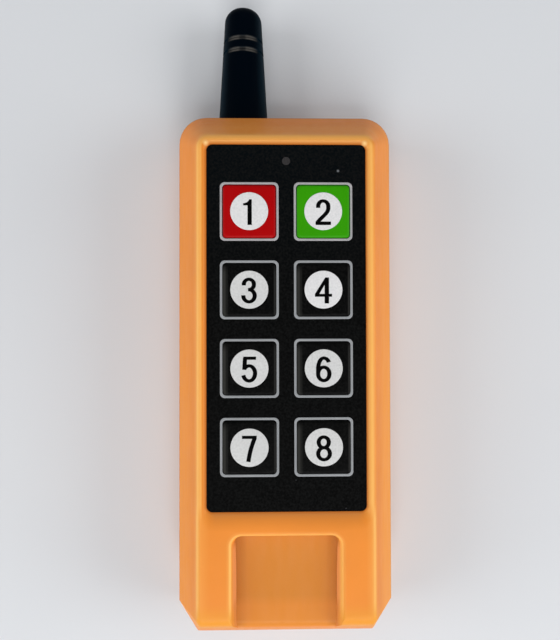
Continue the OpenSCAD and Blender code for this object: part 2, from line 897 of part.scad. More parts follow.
module battery_springs() {
    spring_l = spring_room + cell_gap - 3 * fit_gap;
    color("silver") {
        translate([-cell_pitch / 2, bay_y0 + contact_t + fit_gap, cell_z])
            rotate([-90, 0, 0])
                spring(spring_l);
        translate([cell_pitch / 2, bay_y1 - contact_t - fit_gap, cell_z])
            rotate([90, 0, 0])
                spring(spring_l);
    }
}

module battery_contacts() {
    contact_h = bay_roof_z - contact_z0 - cell_gap;
    color("lightgray") {
        translate([-cell_pitch / 2 - contact_w / 2, bay_y0, contact_z0])
            cube([cell_pitch + contact_w, contact_t, contact_h]);
        for (s = [-1, 1]) {
            translate([s * cell_pitch / 2 - contact_w / 2, bay_y1 - contact_t, contact_z0])
                cube([contact_w, contact_t, contact_h]);
            translate([s * cell_pitch / 2 - tab_w / 2, bay_y1 - contact_t, cell_z])
                cube([tab_w, contact_t, board_z - cell_z]);
        }
    }
}

// Side view of the door, with the rounding of the bottom edge of the back shell
module door_side_view() {
    corner = [
        for (p = arc(back_edge_r - end_y, back_edge_r, back_edge_r, 180, 270, edge_steps / 2))
            if (p[1] < door_t) p
    ];
    tip_y = back_edge_r - sqrt(back_edge_r * back_edge_r - (back_edge_r - door_t) * (back_edge_r - door_t));
    polygon(concat([[tip_y - end_y, door_t]], corner, [[door_y1, 0], [door_y1, door_t]]));
}

module battery_door() {
    grip_w = door_w / 2;
    grip_pitch = 2 * door_t;
    grip_y = bay_y0 + 2 * grip_pitch;
    color("darkorange")
        difference() {
            union() {
                rotate([90, 0, 90])
                    translate([0, 0, -door_w / 2])
                        linear_extrude(door_w)
                            door_side_view();
                translate([-door_w / 2 - tongue_w, bay_y0, tongue_z])
                    cube([door_w + 2 * tongue_w, door_y1 - bay_y0 - 2 * tongue_w, tongue_t]);
            }
            for (i = [0:grip_count - 1])
                translate([-grip_w / 2, grip_y + i * grip_pitch, 0])
                    rotate([0, 90, 0])
                        cylinder(r = door_t / 3, h = grip_w);
        }
}

module case_screws() {
    color("silver")
        for (p = screw_places)
            translate([p[0], p[1], case_screw_well]) {
                cylinder(r = case_screw_r, h = case_screw_l);
                translate([0, 0, -case_head_h])
                    difference() {
                        cylinder(r = case_head_r, h = case_head_h);
                        screw_cross(case_head_r, case_head_h);
                    }
            }
}

module board_screws() {
    color("silver")
        for (p = post_places)
            translate([p[0], p[1], board_z]) {
                cylinder(r = board_screw_r, h = board_screw_l);
                translate([0, 0, -board_head_h])
                    difference() {
                        cylinder(r = board_head_r, h = board_head_h);
                        screw_cross(board_head_r, board_head_h);
                    }
            }
}

// Cross slot in the underside of a screw head
module screw_cross(r, h) {
    slot_w = r / 3;
    slot_l = 1.2 * r;
    for (size = [[slot_w, slot_l], [slot_l, slot_w]])
        translate([-size[0] / 2, -size[1] / 2, -h / 2])
            cube([size[0], size[1], h]);
}

front_shell();
back_shell();
keypad_panel();
lamp_window();
key_1();
key_2();
key_3();
key_4();
key_5();
key_6();
key_7();
key_8();
switch_plunger_1();
switch_plunger_2();
switch_plunger_3();
switch_plunger_4();
switch_plunger_5();
switch_plunger_6();
switch_plunger_7();
switch_plunger_8();
tactile_switches();
circuit_board();
status_lamp();
radio_module();
control_chip();
crystal();
antenna_sleeve();
antenna_core();
antenna_stud();
antenna_nut();
antenna_lead();
battery_cells();
battery_springs();
battery_contacts();
battery_door();
case_screws();
board_screws();
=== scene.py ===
import math

import bmesh
import bpy
from mathutils import Euler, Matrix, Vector


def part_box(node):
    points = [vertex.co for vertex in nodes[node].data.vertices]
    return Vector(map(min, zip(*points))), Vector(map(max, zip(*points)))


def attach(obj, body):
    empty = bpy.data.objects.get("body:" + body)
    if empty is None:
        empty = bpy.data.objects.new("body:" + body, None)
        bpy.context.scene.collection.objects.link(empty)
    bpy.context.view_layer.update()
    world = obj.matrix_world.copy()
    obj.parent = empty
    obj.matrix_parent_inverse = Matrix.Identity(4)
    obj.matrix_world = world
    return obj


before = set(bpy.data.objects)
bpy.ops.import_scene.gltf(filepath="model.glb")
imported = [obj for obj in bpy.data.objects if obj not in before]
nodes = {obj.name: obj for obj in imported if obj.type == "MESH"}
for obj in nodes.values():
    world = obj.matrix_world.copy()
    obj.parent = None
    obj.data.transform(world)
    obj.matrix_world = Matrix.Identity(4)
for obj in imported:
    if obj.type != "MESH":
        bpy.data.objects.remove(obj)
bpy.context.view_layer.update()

scene = bpy.context.scene

MM = 0.001
KEYS = range(1, 9)

# Heights and places that the pieces below are fitted to, read from the frame
panel_low, panel_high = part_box("keypad_panel")
KEY_BOX = {i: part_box(f"key_{i}") for i in KEYS}
KEY_AT = {i: (low + high) / 2 for i, (low, high) in KEY_BOX.items()}
KEY_TOP = {i: high.z for i, (_, high) in KEY_BOX.items()}


# ---------------------------------------------------------------- materials
#
# Places and distances that the masks below compare are in millimetres. A mask's two numbers are where it
# is 0 and where it is 1. With four numbers, the last two are its values there instead of 0 and 1.

# Relief and gloss shared by the moulded surfaces
GRAIN = 0.35 * MM
WAVE_SIZE = 9 * MM
WAVE_DEPTH = 0.02 * MM
WAVE_STRENGTH = 0.4
GLOSS_SIZE = 1.6 * MM
GLOSS_STRETCH = (1, 5, 1)
GLOSS_RANGE = (-0.05, 0.06)
COAT_ROUGHNESS = 0.2
# The part of a noise's values that is spread over the whole range of a mask
DRIFT_SPAN = (0.35, 0.7)
MOTTLE_SPAN = (0.38, 0.72)
GLOSS_SPAN = (0.3, 0.7)
STAIN_SPAN = (0.45, 0.8)


def linear(rgb):
    """A screen colour, 0 to 1, as the linear colour that the shader takes."""
    return tuple(c / 12.92 if c <= 0.04045 else ((c + 0.055) / 1.055) ** 2.4 for c in rgb) + (1.0,)


def scaled(rgb, factor):
    return tuple(c * factor for c in rgb)


class Finish:
    """A node material built on the surface's own position. Its masks are values from 0 to 1."""

    def __init__(self, name, rough, metallic=0.0, specular=0.5, coat=0.0):
        self.material = bpy.data.materials.new(name)
        self.material.use_nodes = True
        self.tree = self.material.node_tree
        self.shader = self.tree.nodes["Principled BSDF"]
        self.set("Roughness", rough)
        self.set("Metallic", metallic)
        self.set("Specular IOR Level", specular)
        self.set("Coat Weight", coat)
        self.set("Coat Roughness", COAT_ROUGHNESS)
        self.place = self.node("ShaderNodeTexCoord").outputs["Object"]
        self.normal = None

    def set(self, socket, value):
        self.shader.inputs[socket].default_value = value

    def node(self, kind, **values):
        made = self.tree.nodes.new(kind)
        for key, value in values.items():
            setattr(made, key, value)
        return made

    def link(self, source, target):
        self.tree.links.new(source, target)

    def in_units(self, sizes):
        """The surface's position in units of these sizes along X, Y and Z."""
        mapping = self.node("ShaderNodeMapping")
        mapping.inputs["Scale"].default_value = [1 / size for size in sizes]
        self.link(self.place, mapping.inputs["Vector"])
        return mapping.outputs["Vector"]

    def noise(self, size, detail, stretch=(1, 1, 1)):
        """Noise whose features are about size metres across, stretched along an axis by a factor."""
        noise = self.node("ShaderNodeTexNoise")
        noise.inputs["Scale"].default_value = 1.0
        noise.inputs["Detail"].default_value = detail
        self.link(self.in_units([size * s for s in stretch]), noise.inputs["Vector"])
        return noise.outputs["Fac"]

    def specks(self, spacing, size):
        """1 in small round spots, about one to a cell of that spacing, and 0 elsewhere."""
        cells = self.node("ShaderNodeTexVoronoi")
        cells.inputs["Scale"].default_value = 1.0
        self.link(self.in_units([spacing] * 3), cells.inputs["Vector"])
        return self.ramp(cells.outputs["Distance"], size / spacing, 0.6 * size / spacing)

    def drift(self, strength=1.0, size=16 * MM):
        """A mask of slow, cloudy changes."""
        return self.ramp(self.noise(size, 3), *DRIFT_SPAN, 0.0, strength)

    def mottle(self, size=0.55 * MM):
        """A mask of fine, even mottling."""
        return self.ramp(self.noise(size, 2), *MOTTLE_SPAN)

    def ramp(self, value, low, high, to_low=0.0, to_high=1.0):
        """value between low and high, turned into the range to_low to to_high."""
        spread = self.node("ShaderNodeMapRange")
        settings = {"From Min": low, "From Max": high, "To Min": to_low, "To Max": to_high}
        for socket, number in settings.items():
            spread.inputs[socket].default_value = number
        self.link(value, spread.inputs["Value"])
        return spread.outputs["Result"]

    def math(self, operation, *values):
        """One or two values or plain numbers put through a math node."""
        made = self.node("ShaderNodeMath", operation=operation)
        for socket, value in zip(made.inputs, values):
            if isinstance(value, (int, float)):
                socket.default_value = value
            else:
                self.link(value, socket)
        return made.outputs["Value"]

    def times(self, first, *others):
        for other in others:
            first = self.math("MULTIPLY", first, other)
        return first

    def apart(self, a, b):
        """Distance between two values."""
        return self.math("ABSOLUTE", self.math("SUBTRACT", a, b))

    def blend(self, choice, first, second):
        """first where choice is 0, second where it is 1."""
        return self.math(
            "ADD", self.times(self.math("SUBTRACT", 1.0, choice), first), self.times(choice, second),
        )

    def axes(self, vector):
        """The X, Y and Z of a vector."""
        parts = self.node("ShaderNodeSeparateXYZ")
        self.link(vector, parts.inputs["Vector"])
        return parts.outputs["X"], parts.outputs["Y"], parts.outputs["Z"]

    def place_mm(self):
        """X, Y and Z of the surface in millimetres."""
        return [self.math("DIVIDE", axis, MM) for axis in self.axes(self.place)]

    def tilt(self, none, full):
        """0 where the surface is tilted from level by the first angle in degrees, 1 at the second."""
        level = self.axes(self.node("ShaderNodeTexCoord").outputs["Normal"])[2]
        return self.ramp(level, math.cos(math.radians(none)), math.cos(math.radians(full)))

    def profile(self, value, points):
        """A broken line through (value, result) points, level beyond both ends."""
        low, high = points[0][0], points[-1][0]
        curve = self.node("ShaderNodeValToRGB")
        stops = curve.color_ramp.elements
        stops[0].color = (points[0][1],) * 3 + (1,)
        stops[1].color = (points[-1][1],) * 3 + (1,)
        for at, result in points[1:-1]:
            stops.new((at - low) / (high - low)).color = (result,) * 3 + (1,)
        self.link(self.ramp(value, low, high), curve.inputs["Fac"])
        return curve.outputs["Color"]

    def rounded(self, across, along, half_across, half_along, radius):
        """Distance out from a rectangle with round corners, negative inside it."""
        def squared(value):
            past = self.math("MAXIMUM", value, 0.0)
            return self.times(past, past)

        across = self.math("SUBTRACT", across, half_across - radius)
        along = self.math("SUBTRACT", along, half_along - radius)
        outer = self.math("SQRT", self.math("ADD", squared(across), squared(along)))
        inner = self.math("MINIMUM", self.math("MAXIMUM", across, along), 0.0)
        return self.math("SUBTRACT", self.math("ADD", outer, inner), radius)

    def spot(self, centre, full, end):
        """1 within a distance of a place seen from the front, 0 beyond another, in millimetres."""
        x, y, _ = self.place_mm()
        away = [self.math("SUBTRACT", axis, at) for axis, at in ((x, centre[0]), (y, centre[1]))]
        squares = [self.times(a, a) for a in away]
        return self.ramp(self.math("SQRT", self.math("ADD", *squares)), end, full)

    def colour(self, base, *tones):
        """Base colour with (mask, colour) tones over it, each laid over the one before."""
        self.set("Base Color", linear(base))
        below = None
        for mask, rgb in tones:
            mix = self.node("ShaderNodeMix", data_type="RGBA")
            if below is None:
                mix.inputs["A"].default_value = linear(base)
            else:
                self.link(below, mix.inputs["A"])
            mix.inputs["B"].default_value = linear(rgb)
            self.link(mask, mix.inputs["Factor"])
            below = mix.outputs["Result"]
        self.link(below, self.shader.inputs["Base Color"])

    def bump(self, height, distance, strength=1.0):
        """Adds a relief of that depth in metres on top of the ones before it."""
        bump = self.node("ShaderNodeBump")
        bump.inputs["Distance"].default_value = distance
        bump.inputs["Strength"].default_value = strength
        self.link(height, bump.inputs["Height"])
        if self.normal:
            self.link(self.normal, bump.inputs["Normal"])
        self.normal = bump.outputs["Normal"]
        self.link(self.normal, self.shader.inputs["Normal"])

    def roughness(self, value, low, high):
        self.link(self.ramp(value, *GLOSS_SPAN, low, high), self.shader.inputs["Roughness"])

    def surface(self, rough, depth, grain=GRAIN, waves=True):
        """Fine grain, slow waves and a gloss that varies lengthwise, as moulded plastic has."""
        self.bump(self.noise(grain, 2), depth)
        if waves:
            self.bump(self.noise(WAVE_SIZE, 2), WAVE_DEPTH, WAVE_STRENGTH)
        low, high = (rough + change for change in GLOSS_RANGE)
        self.roughness(self.noise(GLOSS_SIZE, 4, stretch=GLOSS_STRETCH), low, high)


def moulded(name, rgb, rough, grain=GRAIN, depth=0.012 * MM, shade=0.05, mottle=None, **more):
    """Moulded plastic: an even colour with slow drifts, and a second colour in a fine mottle if given."""
    made = Finish(name, rough, **more)
    tones = [(made.drift(), scaled(rgb, 1 - shade))]
    if mottle:
        tones.append((made.mottle(), mottle))
    made.colour(rgb, *tones)
    made.surface(rough, depth, grain)
    return made.material


def metal(name, rgb, rough, stretch=(1, 1, 1)):
    """Bare or plated metal with fine drawn or turned lines and a little staining."""
    made = Finish(name, rough, metallic=1.0)
    made.colour(rgb, (made.ramp(made.noise(3 * MM, 3), *STAIN_SPAN), scaled(rgb, 0.8)))
    made.bump(made.noise(0.3 * MM, 2, stretch=stretch), 0.004 * MM)
    made.roughness(made.noise(1.2 * MM, 3), rough - 0.06, rough + 0.08)
    return made.material


# Painted highlight at the two ring grooves: strength by distance from the tip and from the antenna's axis
RING_PITCH = 3.6
RING_BAND = (
    (9.9, 0.0), (10.1, 0.5), (10.3, 0.9), (10.55, 0.5),
    (10.75, 0.5), (11.05, 1.0), (11.3, 0.7), (11.5, 0.0),
)
RING_ACROSS = ((0.0, 0.3), (0.7, 0.4), (1.3, 1.0), (2.8, 1.0), (3.8, 0.5), (4.6, 0.0))
# By its surface's tilt in degrees, the painted highlight stays in front, and the sides have a painted blue
# reflection that ends underneath
RING_FRONT = (80, 60)
BLUE_REFLECTION_SIDE = (38, 62)
BLUE_REFLECTION_UNDER = (150, 120)
ANTENNA_ROUGH = 0.42


def antenna_finish():
    """Black rubber with a painted blue reflection where it turns away from the front, and painted
    highlights at its grooves.
    """
    made = Finish("antenna rubber", ANTENNA_ROUGH, specular=0.02)
    x, y, _ = made.place_mm()
    low, high = (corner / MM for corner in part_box("antenna_sleeve"))
    from_tip = made.math("SUBTRACT", high.y, y)
    rings = made.math(
        "MAXIMUM",
        made.profile(from_tip, RING_BAND),
        made.profile(made.math("SUBTRACT", from_tip, RING_PITCH), RING_BAND),
    )
    off_axis = made.apart(x, (low.x + high.x) / 2)
    # Painted highlight on the two ring grooves, kept to the front
    highlight = made.times(rings, made.profile(off_axis, RING_ACROSS), made.tilt(*RING_FRONT))
    made.colour(
        (0.0, 0.02, 0.05),
        # Painted blue reflection on the sides, which ends underneath
        (made.times(made.tilt(*BLUE_REFLECTION_SIDE), made.tilt(*BLUE_REFLECTION_UNDER)), (0.0, 0.09, 0.135)),
        (made.drift(0.6), (0.0, 0.02, 0.045)),
        (highlight, (0.31, 0.3, 0.285)),
    )
    made.surface(ANTENNA_ROUGH, 0.01 * MM, waves=False)
    return made.material


# The panel's painted blue reflection by place along it, and a small pale mark on it
PANEL_BLUE_REFLECTION = (20, 62, 0, 0.8)
PALE_MARK = (14.1, 55.7)
PALE_MARK_SIZE = (0.15, 0.45)
PANEL_ROUGH = 0.7


def panel_finish():
    """Matt black sheet with a fine mottled grain and a few pale specks, and a painted blue reflection at
    the top.
    """
    made = Finish("panel black", PANEL_ROUGH, specular=0.05)
    y = made.place_mm()[1]
    made.colour(
        (0.004, 0.005, 0.005),
        # Painted blue reflection towards the top
        (made.ramp(y, *PANEL_BLUE_REFLECTION), (0.0, 0.02, 0.035)),
        (made.mottle(), (0.063, 0.065, 0.064)),
        (made.specks(7 * MM, 0.16 * MM), (0.26, 0.26, 0.27)),
        (made.spot(PALE_MARK, *PALE_MARK_SIZE), (0.42, 0.43, 0.44)),
    )
    made.surface(PANEL_ROUGH, 0.03 * MM)
    return made.material


# How strong a black key's painted highlight is on its left and right borders, by distance out from its
# middle, and how both fade towards the key's upper edge
KEY_LEFT_HIGHLIGHT = ((5.6, 0.0), (5.9, 0.3), (6.3, 0.4), (6.5, 1.0), (7.2, 1.0))
KEY_RIGHT_HIGHLIGHT = (6.5, 6.8)
KEY_UPPER = (6.9, 4.5)
KEY_ROUGH = 0.5


def key_finish(name, centre):
    """Matt black key with a painted highlight on its rounded border, stronger on the left than on the
    right.
    """
    made = Finish(name, KEY_ROUGH, specular=0.06)
    x, y, _ = made.place_mm()
    out_left = made.math("SUBTRACT", centre.x / MM, x)
    out_right = made.math("SUBTRACT", x, centre.x / MM)
    below_top = made.ramp(made.math("SUBTRACT", y, centre.y / MM), *KEY_UPPER)
    made.colour(
        (0.0, 0.001, 0.001),
        (made.mottle(0.5 * MM), (0.055, 0.055, 0.053)),
        # Painted highlight on the left border, and a weaker one on the right
        (made.times(made.profile(out_left, KEY_LEFT_HIGHLIGHT), below_top), (0.185, 0.185, 0.175)),
        (made.times(made.ramp(out_right, *KEY_RIGHT_HIGHLIGHT), below_top), (0.14, 0.14, 0.135)),
    )
    made.surface(KEY_ROUGH, 0.01 * MM, waves=False)
    return made.material


# How strong the painted highlight on the case is, by distance out from the crest line of its front face,
# which runs up both sides and around the two upper corners
HIGHLIGHT_LEFT = (
    (-1.2, 0.0), (-0.98, 0.72), (-0.35, 0.72), (-0.05, 1.0), (0.15, 0.95), (0.45, 0.45),
    (0.8, 0.2), (1.6, 0.0),
)
HIGHLIGHT_RIGHT = (
    (-3.4, 0.0), (-2.9, 0.3), (-2.1, 0.55), (-1.55, 0.58), (-1.0, 0.92), (-0.65, 0.95),
    (-0.35, 0.45), (0.05, 0.15), (0.7, 0.0),
)
HIGHLIGHT_TOP = (
    (-2.1, 0.0), (-1.4, 0.0), (-1.15, 0.25), (-0.94, 0.5), (-0.67, 0.72), (-0.4, 0.72), (-0.14, 0.78),
    (0.15, 0.85), (0.5, 0.8), (0.8, 0.62), (1.2, 0.38), (2.2, 0.18), (9.0, 0.1), (10.0, 0.0),
)
HIGHLIGHT_LOW_LEFT = (
    (-3.2, 0.0), (-1.0, 0.2), (-0.45, 0.38), (-0.1, 0.85), (0.3, 1.0), (0.6, 0.4),
    (1.0, 0.1), (1.6, 0.0),
)
HIGHLIGHT_LOW_RIGHT = (
    (-2.6, 0.0), (-1.3, 0.2), (-0.8, 0.45), (-0.45, 1.0), (-0.1, 0.9), (0.2, 0.3), (0.7, 0.0),
)
# Painted shade on the strip between the upper crest and the panel, by distance out from the crest line
TOP_STRIP_SHADE = ((-2.1, 1.0), (-1.2, 1.0), (-0.8, 0.0), (0.0, 0.0))
CREST_HALF = 23.9
CREST_TOP = 64.85
CREST_RADIUS = 2.6
# Where the sides' painted highlight takes its lower form, and half the width over which the left side
# changes to the right one and the sides change to the top
LOW_PART = (-34, -38.5)
SIDE_CHANGE = 1
TOP_CHANGE = 1.2

# The part of the case that the front's tones stay on: by depth below the face, and by place up from the
# lower end, which leans out by END_LEAN for its depth
FRONT_DEPTH = (9, 7)
FRONT_END = (-66.25, -65.8)
END_LEAN = 8.9 / 14.9
# How strong the painted light on the foot of the face is, by that place, and how it fades with depth and
# across the recess
FOOT_LIGHT = ((-66.5, 1.0), (-65.5, 0.9), (-63.5, 0.5), (-61.5, 0.12), (-60.5, 0.0))
FOOT_DEPTH = (9, 3)
FOOT_BESIDE_RECESS = (13.8, 14.8, 0.1, 1)

# Painted shade in the groove around the panel and below it, by distance out from the panel
PANEL_CORNER = 1.6
GROOVE_SHADE = (0.75, 0.1)
PANEL_SHADE = ((0.15, 1.0), (1.2, 0.52), (2.2, 0.3), (3.4, 0.16), (5.0, 0.0))
SHADE_BELOW = (1, -0.4)
SHADE_SIDES = (21.9, 19.3)

# The thumb recess: half its width, its head below the panel, its depth below the face and its lower end.
# Painted shade on its deep part, painted light on its side walls by their tilt, width and place below the
# head, and painted shade at the foot of these walls
RECESS_HALF = (15.4, 15.0)
RECESS_HEAD = (-6.1, -6.5)
RECESS_DEPTH = (1.0, 1.4)
RECESS_END = (12, 15, 0.6, 1)
DEEP = (2.15, 2.65)
WALL_TILT = (24, 44)
WALL_UNDER = (95, 90)
WALL_FROM = (11.5, 12.5)
WALL_BELOW_HEAD = (-1.5, -4.5)
WALL_FOOT = (10.8, 13.9)
# The rim of the recess: how strong its painted highlight is, by distance out from the line of its edge,
# and less at its head
RIM_HALF = 14.9
RIM_MIDDLE = -0.23
RIM_TOP = -42.6
RIM_RADIUS = 2.6
RIM_HEAD = (0, -3, 0.68, 1)
RIM_HIGHLIGHT = ((-0.75, 0.0), (-0.3, 0.35), (-0.05, 1.0), (0.25, 1.0), (0.6, 0.25), (1.3, 0.0))

# Painted light on the outer slopes, strongest at the lower end and weaker on the left
SLOPE_FROM = (25.5, 28)
SLOPE_LENGTH = (60, -10, 0.25, 1)
SLOPE_SIDES = (0.6, 1)

# Painted light on the slope beside the antenna's foot, painted glints on the two upper corners, and a
# painted shadow line at the seam where the shells meet. Sizes of spots are where they are full and where
# they end
ANTENNA_FOOT = (-12.5, 74.5)
ANTENNA_FOOT_SIZE = (4, 9)
TOP_SLOPE_FROM = (67, 69)
CORNER_GLINTS = ((-21.75, 63.1), (21.3, 63.05))
GLINT_SIZE = (0.15, 0.95)
GLINT_STRENGTH = 0.8
SEAM_HEIGHT = 17.1
SEAM_SHADOW = (0.17, 0.06)

ORANGE = (0.933, 0.553, 0.182)
CASE_ROUGH = 0.46


def crest_highlight(made, x, y, across):
    """Painted highlight along the crest of the front face, and painted shade on the strip between its
    upper part and the panel."""
    past = made.rounded(across, y, CREST_HALF, CREST_TOP, CREST_RADIUS)
    right = made.ramp(x, -SIDE_CHANGE, SIDE_CHANGE)
    corner = CREST_TOP - CREST_HALF
    top = made.ramp(made.math("SUBTRACT", y, across), corner - TOP_CHANGE, corner + TOP_CHANGE)
    sides = made.blend(
        made.ramp(y, *LOW_PART),
        made.blend(right, made.profile(past, HIGHLIGHT_LEFT), made.profile(past, HIGHLIGHT_RIGHT)),
        made.blend(right, made.profile(past, HIGHLIGHT_LOW_LEFT), made.profile(past, HIGHLIGHT_LOW_RIGHT)),
    )
    highlight = made.blend(top, sides, made.profile(past, HIGHLIGHT_TOP))
    return highlight, made.times(top, made.profile(past, TOP_STRIP_SHADE))


def case_finish():
    """The housing's plastic, with painted highlights along its rounded edges, painted shade in the groove
    around the panel, painted light and shade in the thumb recess and a fine painted shadow line where the
    shells meet."""
    made = Finish("case orange", CASE_ROUGH, specular=0.22)
    x, y, z = made.place_mm()
    case_low, case_high = (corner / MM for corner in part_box("front_shell"))
    low, high = panel_low / MM, panel_high / MM
    across = made.math("ABSOLUTE", x)
    depth = made.math("SUBTRACT", case_high.z, z)
    to_end = made.math("ADD", y, made.times(depth, END_LEAN))
    front = made.times(made.ramp(depth, *FRONT_DEPTH), made.ramp(to_end, *FRONT_END))

    middle = (low.y + high.y) / 2
    off_panel = made.rounded(across, made.apart(y, middle), high.x, high.y - middle, PANEL_CORNER)
    # Painted shade in the groove around the panel
    groove = made.times(made.ramp(off_panel, *GROOVE_SHADE), front)
    from_panel = made.math("SUBTRACT", y, low.y)
    shade = made.times(
        made.profile(off_panel, PANEL_SHADE), made.ramp(from_panel, *SHADE_BELOW),
        made.ramp(across, *SHADE_SIDES), front,
    )
    # Painted highlight along the crest, and painted shade on the strip between the crest and the panel
    highlight, top_strip_shade = (made.times(mask, front) for mask in crest_highlight(made, x, y, across))

    recess = made.times(
        made.ramp(across, *RECESS_HALF), made.ramp(from_panel, *RECESS_HEAD),
        made.ramp(depth, *RECESS_DEPTH), front,
        made.ramp(made.math("SUBTRACT", y, case_low.y), *RECESS_END),
    )
    below_rim = made.math("SUBTRACT", y, RIM_TOP)
    # Painted light on the side walls of the recess
    lit_wall = made.times(
        recess, made.tilt(*WALL_TILT), made.tilt(*WALL_UNDER), made.ramp(across, *WALL_FROM),
        made.ramp(below_rim, *WALL_BELOW_HEAD),
    )
    deep = made.ramp(depth, *DEEP)
    wall_foot_shade = made.times(recess, made.ramp(across, *WALL_FOOT), deep)
    past_rim = made.rounded(made.apart(x, RIM_MIDDLE), y, RIM_HALF, RIM_TOP, RIM_RADIUS)
    rim = made.times(made.profile(past_rim, RIM_HIGHLIGHT), made.ramp(below_rim, *RIM_HEAD), front)

    foot_light = made.times(
        made.profile(to_end, FOOT_LIGHT), made.ramp(depth, *FOOT_DEPTH),
        made.ramp(across, *FOOT_BESIDE_RECESS),
    )
    lit_slopes = made.times(
        made.ramp(across, *SLOPE_FROM), made.ramp(y, *SLOPE_LENGTH),
        made.ramp(x, -SIDE_CHANGE, SIDE_CHANGE, *SLOPE_SIDES),
    )
    foot_spot = made.spot(ANTENNA_FOOT, *ANTENNA_FOOT_SIZE)
    antenna_foot_light = made.times(foot_spot, made.ramp(y, *TOP_SLOPE_FROM))
    glints = [made.times(made.spot(at, *GLINT_SIZE), GLINT_STRENGTH) for at in CORNER_GLINTS]
    made.colour(
        ORANGE,
        (made.drift(), scaled(ORANGE, 0.97)),
        # Painted light on the outer slopes
        (lit_slopes, (0.95, 0.596, 0.195)),
        # Painted light on the top slope below the antenna
        (antenna_foot_light, (0.93, 0.58, 0.25)),
        # Painted shade on the deep part of the recess
        (made.times(recess, deep), (0.82, 0.5, 0.14)),
        # Painted shade at the foot of the recess walls
        (wall_foot_shade, (0.69, 0.4, 0.02)),
        # Painted light on the recess walls
        (lit_wall, (0.935, 0.62, 0.37)),
        # Painted shade on the strip between the upper crest and the panel
        (top_strip_shade, (0.855, 0.57, 0.27)),
        # Painted highlight along the crest
        (highlight, (0.975, 0.72, 0.375)),
        # Painted highlight along the rim of the recess
        (rim, (0.985, 0.745, 0.39)),
        # Painted light at the lower end of the face
        (foot_light, (0.925, 0.605, 0.18)),
        # Painted shade below the panel
        (shade, (0.755, 0.485, 0.24)),
        # Painted shade in the groove around the panel
        (groove, (0.74, 0.4, 0.1)),
        # Painted glints on the two upper corners
        *((glint, (1.0, 0.83, 0.55)) for glint in glints),
        (made.specks(9 * MM, 0.14 * MM), (0.98, 0.74, 0.45)),
        # Painted shadow line where the shells meet
        (made.ramp(made.apart(z, SEAM_HEIGHT), *SEAM_SHADOW), (0.5, 0.25, 0.06)),
    )
    made.surface(CASE_ROUGH, 0.012 * MM)
    return made.material


case_orange = case_finish()
door_orange = moulded("door orange", ORANGE, CASE_ROUGH, shade=0.04, specular=0.3)
panel_black = panel_finish()
line_grey = moulded("line grey", (0.6, 0.61, 0.62), 0.6, grain=0.2 * MM, shade=0.08, specular=0.2)
field_white = moulded(
    "field white", (0.89, 0.885, 0.885), 0.5, grain=0.25 * MM, depth=0.004 * MM, shade=0.03,
    mottle=(0.83, 0.83, 0.83), specular=0.25,
)
field_worn = moulded(
    "field worn", (0.84, 0.84, 0.835), 0.5, grain=0.25 * MM, depth=0.004 * MM, shade=0.04,
    mottle=(0.775, 0.775, 0.77), specular=0.25,
)
numeral_black = moulded(
    "numeral black", (0.005, 0.005, 0.008), 0.6, grain=0.15 * MM, depth=0.003 * MM, specular=0.04
)
key_red = moulded("key red", (0.67, 0.0, 0.012), 0.45, depth=0.008 * MM, specular=0.1)
key_green = moulded("key green", (0.2, 0.6, 0.0), 0.45, depth=0.008 * MM, specular=0.1)
window_smoke = moulded("window smoke", (0.18, 0.17, 0.17), 0.25, depth=0.002 * MM, coat=0.2)
antenna_black = antenna_finish()
plunger_black = moulded("plunger black", (0.09, 0.09, 0.09), 0.5)
chip_black = moulded("chip black", (0.08, 0.08, 0.085), 0.6, grain=0.15 * MM)
board_green = moulded("board green", (0.04, 0.3, 0.16), 0.35, shade=0.3, coat=0.3)
lamp_clear = moulded("lamp clear", (0.88, 0.87, 0.82), 0.15, depth=0.001 * MM, coat=0.6)
cell_blue = moulded("cell sleeve", (0.15, 0.25, 0.45), 0.25, depth=0.002 * MM, shade=0.1, coat=0.4)
steel = metal("plated steel", (0.74, 0.74, 0.73), 0.3)
drawn_steel = metal("drawn steel", (0.7, 0.71, 0.72), 0.34, stretch=(1, 8, 1))
brass = metal("turned brass", (0.82, 0.66, 0.36), 0.28, stretch=(1, 0.2, 1))
copper = metal("tinned copper", (0.78, 0.56, 0.42), 0.3)


# ---------------------------------------------------------------- CAD nodes

WELD = 0.002 * MM
CAD_SHARP = 32


def smoothing_group():
    """Geometry nodes that join the CAD mesh's faces and keep only the edges over an angle sharp."""
    group = bpy.data.node_groups.new("smooth by angle", "GeometryNodeTree")
    for way in ("INPUT", "OUTPUT"):
        group.interface.new_socket("Geometry", in_out=way, socket_type="NodeSocketGeometry")
    start = group.nodes.new("NodeGroupInput")
    weld = group.nodes.new("GeometryNodeMergeByDistance")
    weld.inputs["Distance"].default_value = WELD
    group.links.new(start.outputs["Geometry"], weld.inputs["Geometry"])
    last = weld.outputs["Geometry"]
    angle = group.nodes.new("GeometryNodeInputMeshEdgeAngle")
    over = group.nodes.new("FunctionNodeCompare")
    over.operation = "GREATER_THAN"
    over.inputs["B"].default_value = math.radians(CAD_SHARP)
    group.links.new(angle.outputs["Unsigned Angle"], over.inputs["A"])
    steps = (("FACE", True, None), ("EDGE", True, None), ("EDGE", False, over.outputs["Result"]))
    for domain, is_smooth, chosen in steps:
        shade = group.nodes.new("GeometryNodeSetShadeSmooth")
        shade.domain = domain
        shade.inputs["Shade Smooth"].default_value = is_smooth
        if chosen:
            group.links.new(chosen, shade.inputs["Selection"])
        group.links.new(last, shade.inputs["Geometry"])
        last = shade.outputs["Geometry"]
    end = group.nodes.new("NodeGroupOutput")
    group.links.new(last, end.inputs["Geometry"])
    return group


SMOOTHING = smoothing_group()


